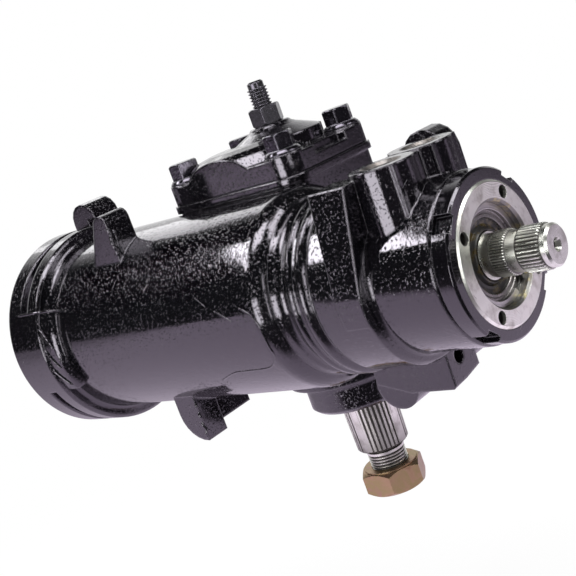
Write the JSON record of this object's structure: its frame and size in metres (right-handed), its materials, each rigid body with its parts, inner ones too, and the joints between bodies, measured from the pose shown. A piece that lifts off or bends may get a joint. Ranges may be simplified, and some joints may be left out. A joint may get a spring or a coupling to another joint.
{
  "type": "steering gearbox",
  "caption": "Recirculating-ball power steering gearbox: black cast body with hose ports, splined input shaft, domed side cover with lash screw, and a splined pitman shaft below.",
  "frame": {"origin": "centre of the mouth of the lower front frame bolt hole, on the plane of the frame pads", "axes": "+X along the worm axis towards the input shaft, +Y out of the frame pads towards the frame rail, +Z along the pitman shaft towards the side cover"},
  "size_m": [0.3283, 0.1503, 0.2445],
  "materials": {
    "black_paint": "gloss black paint over a rough casting",
    "black_steel": "black painted fasteners",
    "machined_steel": "turned, oiled",
    "bright_steel": "ground and splined",
    "hard_steel": "plain hardened steel",
    "yellow_zinc": "yellow zinc plate",
    "bronze": "plain bronze",
    "rubber": "moulded seal"
  },
  "bodies": {
    "housing": {"housing": "black_paint", "side_cover": "black_paint", "cover_seal": "rubber", "cover_bolts": "black_steel", "lash_screw": "black_steel", "lash_nut": "black_steel", "cover_bush": "bronze", "pitman_bearing": "hard_steel", "pitman_seal": "rubber", "seal_washer": "hard_steel", "pitman_ring": "hard_steel", "end_plug": "machined_steel", "end_plug_seal": "rubber", "end_ring": "hard_steel", "lower_thrust_bearing": "hard_steel", "upper_thrust_bearing": "hard_steel", "adjuster_plug": "machined_steel", "plug_bearing": "hard_steel", "stub_seal": "rubber", "dust_seal": "rubber", "plug_ring": "hard_steel", "plug_seal": "rubber", "lock_nut": "black_paint", "pressure_seat": "bronze", "return_seat": "bronze"},
    "pitman": {"sector_shaft": "bright_steel", "lash_retainer": "hard_steel", "pitman_nut": "yellow_zinc"},
    "rack": {"rack_piston": "hard_steel", "piston_ring": "rubber", "piston_plug": "hard_steel", "balls": "bright_steel", "ball_guide": "hard_steel", "guide_clamp": "hard_steel"},
    "worm": {"worm": "hard_steel", "valve_body": "hard_steel", "valve_rings": "rubber", "torsion_bar": "hard_steel", "drive_pin": "hard_steel"},
    "stub": {"stub_shaft": "bright_steel"}
  },
  "joints": [
    {"name": "worm_turn", "type": "hinge", "parent": "housing", "child": "worm", "pos_m": [0, -0.092, 0.062], "axis": [1, 0, 0], "range_deg": [-559, 559]},
    {"name": "pitman_swing", "type": "hinge", "parent": "housing", "child": "pitman", "pos_m": [-0.058, -0.0414, 0], "axis": [0, 0, 1], "range_deg": [-40, 40]},
    {"name": "rack_slide", "type": "slide", "parent": "housing", "child": "rack", "axis": [1, 0, 0], "range_m": [-0.0182, 0.0182]},
    {"name": "valve_twist", "type": "hinge", "parent": "worm", "child": "stub", "pos_m": [0, -0.092, 0.062], "axis": [1, 0, 0], "range_deg": [-7, 7], "stiffness_Nm_per_rad": 40}
  ],
  "couplings": [
    {"joint": "pitman_swing", "follows": "worm_turn", "ratio": -0.071429},
    {"joint": "rack_slide", "follows": "worm_turn", "m_per_rad": -0.0018571}
  ]
}
